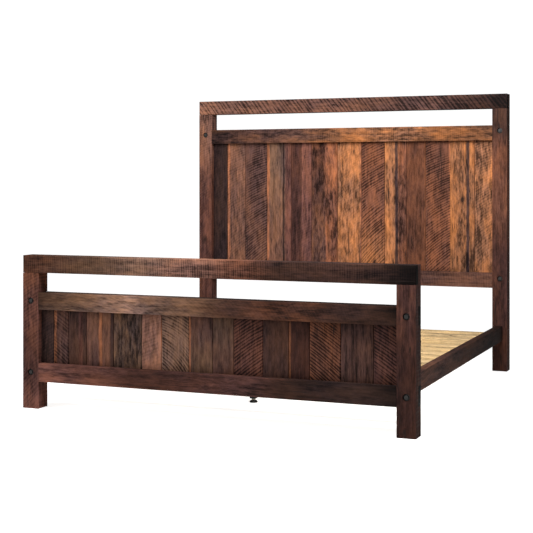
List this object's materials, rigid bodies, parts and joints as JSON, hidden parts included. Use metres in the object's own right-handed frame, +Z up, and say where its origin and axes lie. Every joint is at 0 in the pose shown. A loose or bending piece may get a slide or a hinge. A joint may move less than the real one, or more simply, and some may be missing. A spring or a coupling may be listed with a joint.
{
  "type": "bed frame",
  "caption": "Boarded headboard and footboard on square posts with half-lapped, bolted rails, hook-on side rails, a slat deck and a steel centre support on levelling feet.",
  "frame": {"origin": "on the floor, under the centre of the whole frame's box", "axes": "+X across the bed to the right as seen from the foot, +Y from the footboard to the headboard, +Z up"},
  "size_m": [2.09, 2.228, 1.713],
  "materials": {
    "post_timber": "rough-sawn, stained, low sheen",
    "rail_timber": "rough-sawn, stained, low sheen",
    "board_dark": "rough-sawn, stained, low sheen",
    "board_brown": "rough-sawn, stained, low sheen",
    "board_red": "rough-sawn, stained, low sheen",
    "board_golden": "rough-sawn, stained, low sheen",
    "side_rail_timber": "rough-sawn, stained, low sheen",
    "ledger_timber": "planed, unfinished",
    "slat_timber": "planed, unfinished",
    "black_hardware": "blackened, matt",
    "zinc_steel": "zinc plated, satin",
    "black_steel": "black powder coat",
    "pad_plastic": "moulded, matt"
  },
  "bodies": {
    "frame": {"footboard_post_left": "post_timber", "footboard_post_right": "post_timber", "footboard_lower_rail": "rail_timber", "footboard_upper_rail": "rail_timber", "footboard_cap_rail": "rail_timber", "footboard_bolt_lower_left": "black_hardware", "footboard_bolt_lower_right": "black_hardware", "footboard_bolt_upper_left": "black_hardware", "footboard_bolt_upper_right": "black_hardware", "headboard_post_left": "post_timber", "headboard_post_right": "post_timber", "headboard_lower_rail": "rail_timber", "headboard_upper_rail": "rail_timber", "headboard_cap_rail": "rail_timber", "headboard_bolt_lower_left": "black_hardware", "headboard_bolt_lower_right": "black_hardware", "headboard_bolt_upper_left": "black_hardware", "headboard_bolt_upper_right": "black_hardware", "footboard_board_01": "board_dark", "footboard_board_02": "board_brown", "footboard_board_03": "board_dark", "footboard_board_04": "board_brown", "footboard_board_05": "board_dark", "footboard_board_06": "board_red", "footboard_board_07": "board_brown", "footboard_board_08": "board_brown", "footboard_board_09": "board_dark", "footboard_board_10": "board_red", "footboard_board_11": "board_dark", "footboard_board_12": "board_red", "footboard_board_13": "board_golden", "footboard_board_14": "board_brown", "footboard_board_15": "board_brown", "headboard_board_01": "board_dark", "headboard_board_02": "board_brown", "headboard_board_03": "board_dark", "headboard_board_04": "board_brown", "headboard_board_05": "board_red", "headboard_board_06": "board_red", "headboard_board_07": "board_golden", "headboard_board_08": "board_golden", "headboard_board_09": "board_golden", "headboard_board_10": "board_golden", "headboard_board_11": "board_dark", "headboard_board_12": "board_golden", "headboard_board_13": "board_golden", "side_rail_left": "side_rail_timber", "slat_ledger_left": "ledger_timber", "rail_hook_plate_foot_left": "zinc_steel", "rail_hook_plate_head_left": "zinc_steel", "side_rail_right": "side_rail_timber", "slat_ledger_right": "ledger_timber", "rail_hook_plate_foot_right": "zinc_steel", "rail_hook_plate_head_right": "zinc_steel", "slat_roll": "slat_timber", "centre_support": "black_steel"},
    "leveller_pad_foot": {"leveller_pad_foot": "pad_plastic"},
    "leveller_stud_foot": {"leveller_stud_foot": "zinc_steel"},
    "leveller_pad_head": {"leveller_pad_head": "pad_plastic"},
    "leveller_stud_head": {"leveller_stud_head": "zinc_steel"}
  },
  "joints": [
    {"name": "leveller_travel_foot", "type": "slide", "parent": "frame", "child": "leveller_pad_foot", "axis": [0, 0, -1], "range_m": [0, 0.012]},
    {"name": "leveller_turn_foot", "type": "hinge", "parent": "leveller_pad_foot", "child": "leveller_stud_foot", "pos_m": [0, -0.52, 0.03], "axis": [0, 0, -1], "range_deg": [0, 2880]},
    {"name": "leveller_travel_head", "type": "slide", "parent": "frame", "child": "leveller_pad_head", "axis": [0, 0, -1], "range_m": [0, 0.012]},
    {"name": "leveller_turn_head", "type": "hinge", "parent": "leveller_pad_head", "child": "leveller_stud_head", "pos_m": [0, 0.52, 0.03], "axis": [0, 0, -1], "range_deg": [0, 2880]}
  ],
  "couplings": [
    {"joint": "leveller_turn_foot", "follows": "leveller_travel_foot", "rad_per_m": 4188.8},
    {"joint": "leveller_turn_head", "follows": "leveller_travel_head", "rad_per_m": 4188.8}
  ]
}
